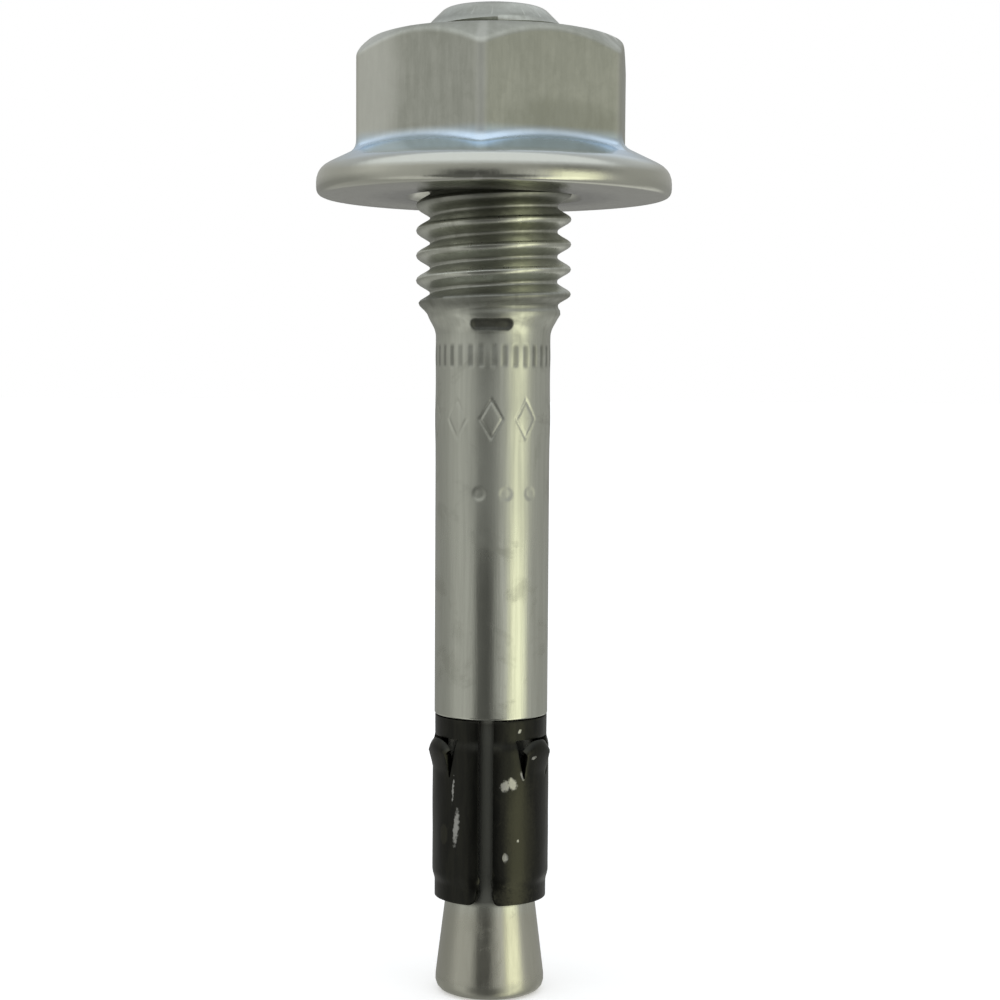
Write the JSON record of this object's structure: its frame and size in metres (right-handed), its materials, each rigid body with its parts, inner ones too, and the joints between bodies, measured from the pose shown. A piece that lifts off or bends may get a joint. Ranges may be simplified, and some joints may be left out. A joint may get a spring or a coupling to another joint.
{
  "type": "nail anchor",
  "caption": "Threaded nail anchor: a plated bolt with a tip cone, a dark split expansion clip on its neck and a hexagon flange nut that draws the cone into the clip.",
  "frame": {"origin": "centre of the flat tip that the anchor stands on", "axes": "+Z along the bolt from its tip to its threaded end, -Y the side that the clip's slit faces"},
  "size_m": [0.0178, 0.0178, 0.05],
  "materials": {
    "plated_bolt": "zinc plated, satin, with handling stains",
    "dark_clip": "black spring steel with bare scratches",
    "plated_nut": "zinc plated, dull, with drawn streaks"
  },
  "bodies": {
    "clip": {"expansion_clip": "dark_clip"},
    "bolt": {"anchor_bolt": "plated_bolt"},
    "nut": {"flange_nut": "plated_nut"}
  },
  "joints": [
    {"name": "nut_turn", "type": "hinge", "parent": "clip", "child": "nut", "pos_m": [0, 0, 0.04455], "axis": [0, 0, -1], "range_deg": [0, 360]},
    {"name": "bolt_draw", "type": "slide", "parent": "clip", "child": "bolt", "axis": [0, 0, 1], "range_m": [0, 0.00125]}
  ],
  "couplings": [
    {"joint": "bolt_draw", "follows": "nut_turn", "m_per_rad": 0.00019894}
  ]
}
